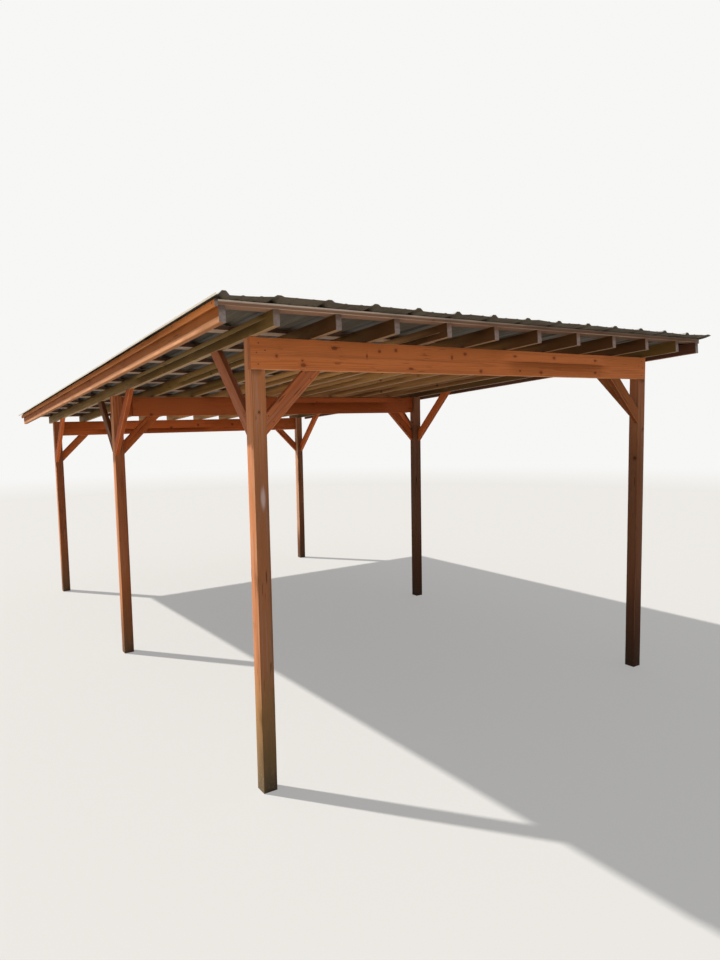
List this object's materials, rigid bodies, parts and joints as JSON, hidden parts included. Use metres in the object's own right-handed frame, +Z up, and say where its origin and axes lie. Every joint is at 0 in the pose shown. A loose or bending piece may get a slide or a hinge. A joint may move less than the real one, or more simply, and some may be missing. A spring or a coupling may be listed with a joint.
{
  "type": "open timber carport",
  "caption": "Open timber carport with notched posts, knee-braced beams and a low single-slope roof of ribbed metal on rafters and purlins.",
  "frame": {"origin": "on the floor, at the centre of the base of the whole carport's bounding box", "axes": "+X to the right seen from the high front end, +Y from the high front end to the low back end, +Z up"},
  "size_m": [4.3512, 6.9936, 2.873],
  "materials": {
    "stained_timber": "orange-brown stain, weathered, dirty at the foot",
    "raw_timber": "unstained sawn softwood, greyed",
    "roof_metal": "dull weathered zinc coating"
  },
  "bodies": {
    "root": {"beam_back": "stained_timber", "beam_front": "stained_timber", "beam_middle": "stained_timber", "beam_middle_inner_board": "stained_timber", "brace_back_left_to_beam": "stained_timber", "brace_back_left_up_slope": "stained_timber", "brace_back_right_to_beam": "stained_timber", "brace_back_right_up_slope": "stained_timber", "brace_front_left_down_slope": "stained_timber", "brace_front_left_to_beam": "stained_timber", "brace_front_right_down_slope": "stained_timber", "brace_front_right_to_beam": "stained_timber", "brace_middle_left_down_slope": "stained_timber", "brace_middle_left_to_beam": "stained_timber", "brace_middle_left_up_slope": "stained_timber", "brace_middle_right_down_slope": "stained_timber", "brace_middle_right_to_beam": "stained_timber", "brace_middle_right_up_slope": "stained_timber", "fly_rafter_left": "stained_timber", "fly_rafter_right": "stained_timber", "post_back_left": "stained_timber", "post_back_right": "stained_timber", "post_front_left": "stained_timber", "post_front_right": "stained_timber", "post_middle_left": "stained_timber", "post_middle_right": "stained_timber", "purlin_01": "raw_timber", "purlin_02": "raw_timber", "purlin_03": "raw_timber", "purlin_04": "raw_timber", "purlin_05": "raw_timber", "purlin_06": "raw_timber", "purlin_07": "raw_timber", "purlin_08": "raw_timber", "purlin_09": "raw_timber", "purlin_10": "raw_timber", "purlin_11": "raw_timber", "purlin_12": "raw_timber", "rafter_01": "raw_timber", "rafter_02": "raw_timber", "rafter_03": "raw_timber", "rafter_04": "raw_timber", "rafter_05": "raw_timber", "rafter_06": "raw_timber", "rafter_07": "raw_timber", "rafter_08": "raw_timber", "rafter_09": "raw_timber", "rafter_10": "raw_timber", "rake_strip_left": "stained_timber", "rake_strip_right": "stained_timber", "roof_sheet_1": "roof_metal", "roof_sheet_2": "roof_metal", "roof_sheet_3": "roof_metal", "roof_sheet_4": "roof_metal", "roof_sheet_5": "roof_metal"}
  },
  "joints": []
}
